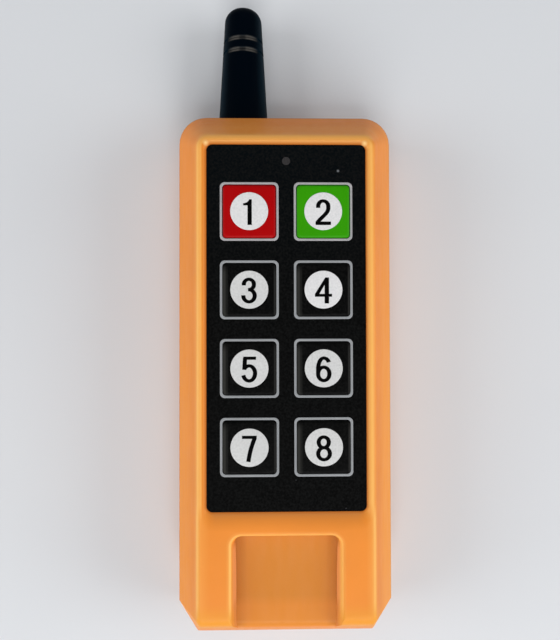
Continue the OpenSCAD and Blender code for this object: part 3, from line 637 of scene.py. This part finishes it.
def dress(name, material):
    """Gives a CAD node its finish and smooth shading."""
    node = nodes[name]
    node.material_slots[0].material = material
    node.modifiers.new("smooth", "NODES").node_group = SMOOTHING
    node.modifiers.new("normals", "WEIGHTED_NORMAL").keep_sharp = True


FINISHES = {
    "front_shell": case_orange,
    "back_shell": case_orange,
    "battery_door": door_orange,
    "keypad_panel": panel_black,
    "lamp_window": window_smoke,
    "antenna_sleeve": antenna_black,
    "tactile_switches": drawn_steel,
    "circuit_board": board_green,
    "status_lamp": lamp_clear,
    "radio_module": drawn_steel,
    "control_chip": chip_black,
    "crystal": steel,
    "antenna_core": brass,
    "antenna_stud": brass,
    "antenna_nut": steel,
    "antenna_lead": copper,
    "battery_cells": cell_blue,
    "battery_springs": steel,
    "battery_contacts": steel,
    "case_screws": drawn_steel,
    "board_screws": drawn_steel,
}
KEY_COLOURS = {1: key_red, 2: key_green}

for name, material in FINISHES.items():
    dress(name, material)
for i in KEYS:
    dress(f"key_{i}", KEY_COLOURS.get(i) or key_finish(f"key black {i}", KEY_AT[i]))
    dress(f"switch_plunger_{i}", plunger_black)


# ---------------------------------------------------------------- new pieces

ADDED_SHARP = 40
CORNER_STEPS = 8
CIRCLE_STEPS = 64


def piece(name, mesh, material, body):
    """A new object with that mesh, which rides on a body."""
    made = bpy.data.objects.new(name, mesh)
    scene.collection.objects.link(made)
    made.data.materials.append(material)
    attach(made, body)


def mesh_of(name, bm):
    bmesh.ops.recalc_face_normals(bm, faces=bm.faces)
    mesh = bpy.data.meshes.new(name)
    bm.to_mesh(mesh)
    bm.free()
    return mesh


def loft(bm, rings, closed=False):
    """Faces between rings of points, capped at both ends, or with the last ring joined to the first."""
    made = [[bm.verts.new(p) for p in ring] for ring in rings]
    count = len(made[0])
    for lower, upper in zip(made, made[1:] + (made[:1] if closed else [])):
        for k in range(count):
            after = (k + 1) % count
            bm.faces.new((lower[k], lower[after], upper[after], upper[k]))
    if not closed:
        bm.faces.new(made[0][::-1])
        bm.faces.new(made[-1])


def smooth(mesh):
    for face in mesh.polygons:
        face.use_smooth = True
    mesh.set_sharp_from_angle(angle=math.radians(ADDED_SHARP))


def rounded_square(half, radius, z, centre):
    """Points of a square with round corners, counter-clockwise."""
    points = []
    for corner, (sx, sy) in enumerate(((1, 1), (-1, 1), (-1, -1), (1, -1))):
        for k in range(CORNER_STEPS + 1):
            a = math.radians(90 * corner + 90 * k / CORNER_STEPS)
            points.append(Vector((
                centre.x + sx * (half - radius) + radius * math.cos(a),
                centre.y + sy * (half - radius) + radius * math.sin(a),
                z,
            )))
    return points


def circle(radius, z, centre):
    angles = [2 * math.pi * k / CIRCLE_STEPS for k in range(CIRCLE_STEPS)]
    return [
        Vector((centre.x + radius * math.cos(a), centre.y + radius * math.sin(a), z)) for a in angles
    ]


# Printed lines around the keys, over the raised lines of the panel. By distance out from its inner side,
# the line around a coloured key takes on the key's colour
LINE_OUTER = 7.97 * MM
LINE_INNER = 7.27 * MM
LINE_RADIUS = 1.35 * MM
LINE_INNER_RADIUS = LINE_RADIUS - (LINE_OUTER - LINE_INNER) / 2
LINE_RISE = 0.1 * MM
LINE_SOFT = 0.06 * MM
PRINT = 0.02 * MM
EDGE_WIDTH = (0.12, 0.03)
EDGE_COLOURS = {1: (0.62, 0.03, 0.04), 2: (0.17, 0.52, 0.02)}


def line_mesh(name, centre):
    """A closed ring with a soft top edge, from the panel up over its raised line."""
    foot = panel_high.z - LINE_RISE
    crest = panel_high.z + PRINT
    section = [
        (LINE_OUTER + PRINT, LINE_RADIUS + PRINT, foot + PRINT),
        (LINE_OUTER + PRINT, LINE_RADIUS + PRINT, crest - LINE_SOFT),
        (LINE_OUTER - LINE_SOFT, LINE_RADIUS - LINE_SOFT, crest),
        (LINE_INNER + LINE_SOFT, LINE_INNER_RADIUS + LINE_SOFT, crest),
        (LINE_INNER - PRINT, LINE_INNER_RADIUS - PRINT, crest - LINE_SOFT),
        (LINE_INNER - PRINT, LINE_INNER_RADIUS - PRINT, foot - 2 * LINE_SOFT),
    ]
    bm = bmesh.new()
    loft(bm, [rounded_square(half, radius, z, centre) for half, radius, z in section], closed=True)
    return mesh_of(name, bm)


def line_finish(name, centre, edge_rgb):
    """The line's grey, with a thin inner edge that takes the colour of the key."""
    made = Finish(name, 0.6, specular=0.2)
    x, y, _ = made.place_mm()
    half = LINE_INNER / MM
    past = made.rounded(
        made.apart(x, centre.x / MM), made.apart(y, centre.y / MM), half, half, LINE_INNER_RADIUS / MM,
    )
    made.colour(
        (0.67, 0.66, 0.665),
        (made.drift(size=4 * MM), (0.62, 0.62, 0.625)),
        (made.ramp(past, *EDGE_WIDTH), edge_rgb),
    )
    made.bump(made.noise(0.2 * MM, 2), 0.01 * MM)
    return made.material


for i in KEYS:
    mesh = line_mesh(f"key_line_{i}", KEY_AT[i])
    smooth(mesh)
    edge_rgb = EDGE_COLOURS.get(i)
    finish = line_finish(f"line at key {i}", KEY_AT[i], edge_rgb) if edge_rgb else line_grey
    piece(f"key_line_{i}", mesh, finish, "housing")

# Printed round fields on the keys. Those of the keys in BRIGHT_FIELDS are less worn
FIELD_RADIUS = 5.09 * MM
FIELD_THICK = 0.05 * MM
FIELD_SUNK = 0.06 * MM
BRIGHT_FIELDS = (1, 2, 4)


def field_mesh(name, centre, top):
    """A thin round field with a soft rim, a little proud of the raised disc below it."""
    rings = [
        circle(FIELD_RADIUS + PRINT, top - FIELD_SUNK, centre),
        circle(FIELD_RADIUS + PRINT, top + 0.3 * FIELD_THICK, centre),
        circle(FIELD_RADIUS - 0.05 * MM, top + 0.8 * FIELD_THICK, centre),
        circle(FIELD_RADIUS - 0.2 * MM, top + FIELD_THICK, centre),
    ]
    bm = bmesh.new()
    loft(bm, rings)
    return mesh_of(name, bm)


for i in KEYS:
    mesh = field_mesh(f"key_field_{i}", KEY_AT[i], KEY_TOP[i])
    smooth(mesh)
    finish = field_white if i in BRIGHT_FIELDS else field_worn
    piece(f"key_field_{i}", mesh, finish, f"key_{i}_moving")

# Numerals, in millimetres from the middle of the field: the foot is at y FOOT and the head at y HEAD.
# Upright parts of a line are wider than level parts. A mitred corner reaches out by half a line's width
# over SHARPEST at most
HEAD = 3.2
FOOT = -3.74
UPRIGHT = 1.14
LEVEL = 0.9
SHARPEST = 0.3
NUMERAL_THICK = 0.02
ARC_STEPS = 28
OVAL_STEPS = 48
BEND_STEPS = 18


def sweep(cx, cy, rx, ry, start, end, steps=ARC_STEPS):
    """Points of an ellipse's arc, angles in degrees."""
    angles = [math.radians(start + (end - start) * k / steps) for k in range(steps + 1)]
    return [(cx + rx * math.cos(a), cy + ry * math.sin(a)) for a in angles]


def bend(*controls, steps=BEND_STEPS):
    """Points of a Bezier curve from its four control points."""
    out = []
    for k in range(steps + 1):
        t = k / steps
        weights = ((1 - t) ** 3, 3 * t * (1 - t) ** 2, 3 * t * t * (1 - t), t ** 3)
        out.append(tuple(sum(w * p[axis] for w, p in zip(weights, controls)) for axis in (0, 1)))
    return out


def line_width(along):
    """Width of a line that runs in that direction."""
    return math.hypot(UPRIGHT * along.y, LEVEL * along.x)


def ribbon(points):
    """Outline of a line through the points, with mitred corners and square ends."""
    left, right = [], []
    points = [Vector(p) for p in points]
    for k, here in enumerate(points):
        into = (here - points[k - 1]).normalized() if k > 0 else None
        out = (points[k + 1] - here).normalized() if k < len(points) - 1 else None
        into = into or out
        out = out or into
        along = (into + out).normalized()
        side = Vector((-along.y, along.x))
        reach = line_width(along) / 2 / max(along.dot(into), SHARPEST)
        left.append(here + side * reach)
        right.append(here - side * reach)
    return left + right[::-1]


def loop(cx, cy, rx, ry):
    """Outer and inner outline of a closed oval line."""
    outer = sweep(cx, cy, rx + UPRIGHT / 2, ry + LEVEL / 2, 0, 360, OVAL_STEPS)[:-1]
    inner = sweep(cx, cy, rx - UPRIGHT / 2, ry - LEVEL / 2, 0, 360, OVAL_STEPS)[:-1]
    return outer, inner


def bar(x0, x1, y0, y1):
    return [(x0, y0), (x1, y0), (x1, y1), (x0, y1)]


# Each numeral is a list of overlapping shapes: one outline, or an outer and an inner one
NUMERALS = {
    1: [[
        (0.71, FOOT), (0.71, HEAD), *bend((0.02, HEAD), (-0.18, 2.6), (-0.75, 2.17), (-1.62, 2.1)),
        (-1.62, 1.54), (-0.45, 1.54), (-0.45, FOOT),
    ]],
    2: [
        ribbon(
            [(-1.36, 0.9)] + sweep(0, 1.35, 1.37, 1.42, 180, -10)
            + bend((1.35, 1.1), (1.6, -0.5), (-0.5, -1.5), (-1.48, -3.0))[1:]
            + bend((-1.48, -3.0), (-1.52, -3.1), (-1.54, -3.2), (-1.55, -3.4), steps=3)[1:]
        ),
        bar(-2.08, 2.08, FOOT, -2.8),
    ],
    3: [
        ribbon([(-1.46, 1.15)] + sweep(-0.1, 1.4, 1.36, 1.39, 180, -90) + [(-0.35, 0.01)]),
        ribbon([(-0.35, 0)] + sweep(-0.07, -1.64, 1.53, 1.63, 90, -180) + [(-1.6, -1.5)]),
    ],
    4: [(
        [
            (0.3, FOOT), (1.49, FOOT), (1.49, -1.93), (2.31, -1.93), (2.31, -1.13), (1.49, -1.13),
            (1.49, 3.28), (0.5, 3.28), (-2.33, -1.2), (-2.33, -1.93), (0.3, -1.93),
        ],
        [(0.3, 1.28), (0.3, -1.15), (-1.12, -1.15)],
    )],
    5: [
        bar(-1.66, 1.8, 2.36, HEAD),
        ribbon([(-1.16, 2.8), (-1.37, -0.34)]),
        ribbon(sweep(-0.08, -1.3, 1.6, 2.02, 142, -166)),
    ],
    6: [
        loop(0, -1.5, 1.52, 1.8),
        ribbon(
            sweep(0, 1.3, 1.38, 1.45, 12, 90) + sweep(0, -0.2, 1.52, 2.95, 90, 180)[1:] + [(-1.52, -1.5)]
        ),
    ],
    7: [
        bar(-2.02, 1.94, 2.36, HEAD),
        ribbon(bend((1.42, 2.6), (0.6, 0.6), (0.1, -1.0), (-0.32, -3.77))),
    ],
    8: [
        loop(-0.07, 1.33, 1.36, 1.43),
        loop(0, -1.71, 1.57, 1.61),
    ],
}


def slab(shape):
    """A flat closed solid around height 0, from one outline or an outer and an inner one."""
    bm = bmesh.new()
    edges = []
    for outline in shape if isinstance(shape, tuple) else [shape]:
        ring = [bm.verts.new((x, y, -NUMERAL_THICK)) for x, y in outline]
        edges += [bm.edges.new((a, b)) for a, b in zip(ring, ring[1:] + ring[:1])]
    bmesh.ops.triangle_fill(bm, use_beauty=True, use_dissolve=False, edges=edges)
    raised = bmesh.ops.extrude_face_region(bm, geom=bm.faces[:])
    for vert in raised["geom"]:
        if isinstance(vert, bmesh.types.BMVert):
            vert.co.z = NUMERAL_THICK
    return mesh_of("slab", bm)


def united(meshes):
    """One mesh from several closed ones that overlap."""
    objects = []
    for mesh in meshes:
        made = bpy.data.objects.new("part", mesh)
        scene.collection.objects.link(made)
        objects.append(made)
    for other in objects[1:]:
        join = objects[0].modifiers.new("join", "BOOLEAN")
        join.operation = "UNION"
        join.solver = "EXACT"
        join.object = other
    bpy.context.view_layer.update()
    joined = objects[0].evaluated_get(bpy.context.evaluated_depsgraph_get())
    whole = bpy.data.meshes.new_from_object(joined)
    for made in objects:
        bpy.data.objects.remove(made)
    return whole


for i in KEYS:
    mesh = united([slab(shape) for shape in NUMERALS[i]])
    mesh.name = f"numeral_{i}"
    base = KEY_TOP[i] + FIELD_THICK
    for vert in mesh.vertices:
        x, y, z = (axis * MM for axis in vert.co)
        vert.co = (KEY_AT[i].x + x, KEY_AT[i].y + y, base + z)
    piece(f"numeral_{i}", mesh, numeral_black, f"key_{i}_moving")


# ---------------------------------------------------------------- floor, lights and camera

FLOOR_SIZE = 2.4
FLOOR_STEPS = 24
FLOOR_LIFT = 0.02
FLOOR_DROP = 0.02 * MM
LAMP_AIM = Vector((0, 0, 0))
WORLD_COLOUR = (0.92, 0.95, 1.0, 1)
WORLD_STRENGTH = 0.2


def floor():
    """A wide pale sheet that curves up a little at its far edges."""
    bm = bmesh.new()
    bmesh.ops.create_grid(bm, x_segments=FLOOR_STEPS, y_segments=FLOOR_STEPS, size=FLOOR_SIZE)
    for vert in bm.verts:
        out = max(0.0, vert.co.length / FLOOR_SIZE - 0.5)
        vert.co.z = FLOOR_LIFT * out * out - FLOOR_DROP
    made = bpy.data.objects.new("floor", mesh_of("floor", bm))
    scene.collection.objects.link(made)
    finish = Finish("floor pale", 0.7, specular=0.3)
    finish.colour((0.86, 0.87, 0.88), (finish.noise(120 * MM, 3), (0.83, 0.84, 0.855)))
    finish.bump(finish.noise(1.2 * MM, 2), 0.02 * MM)
    made.data.materials.append(finish.material)


def lamp(name, at, size, watts):
    """A square soft lamp that points at the remote."""
    light = bpy.data.lights.new(name, "AREA")
    light.shape = "SQUARE"
    light.size = size
    light.energy = watts
    made = bpy.data.objects.new(name, light)
    made.location = at
    made.rotation_euler = (LAMP_AIM - Vector(at)).to_track_quat("-Z", "Y").to_euler()
    scene.collection.objects.link(made)


floor()
lamp("soft low", (0.0, -0.76, 0.78), 0.7, 7.2)
lamp("soft high", (0.0, 0.9, 0.6), 0.9, 0.8)
lamp("soft left", (-0.95, -0.07, 0.5), 0.7, 5.6)
lamp("soft right", (0.95, -0.07, 0.5), 0.7, 6.3)

world = bpy.data.worlds.new("studio")
world.use_nodes = True
sky = world.node_tree.nodes["Background"].inputs
sky["Color"].default_value = WORLD_COLOUR
sky["Strength"].default_value = WORLD_STRENGTH
scene.world = world

# The camera of the photograph: 184 mm above the table, almost straight down
PHOTO_TALL = 640
FOCAL_PIXELS = 565
SENSOR = 36
camera = bpy.data.cameras.new("camera")
camera.sensor_width = SENSOR
camera.sensor_fit = "AUTO"
camera.lens = FOCAL_PIXELS * SENSOR / PHOTO_TALL
camera.clip_start = 0.01
eye = bpy.data.objects.new("camera", camera)
eye.location = (-4.69 * MM, 13.18 * MM, 183.8 * MM)
eye.rotation_euler = Euler((0.0135, -0.0193, -0.0023), "XYZ")
scene.collection.objects.link(eye)
scene.camera = eye

scene.view_settings.view_transform = "Standard"
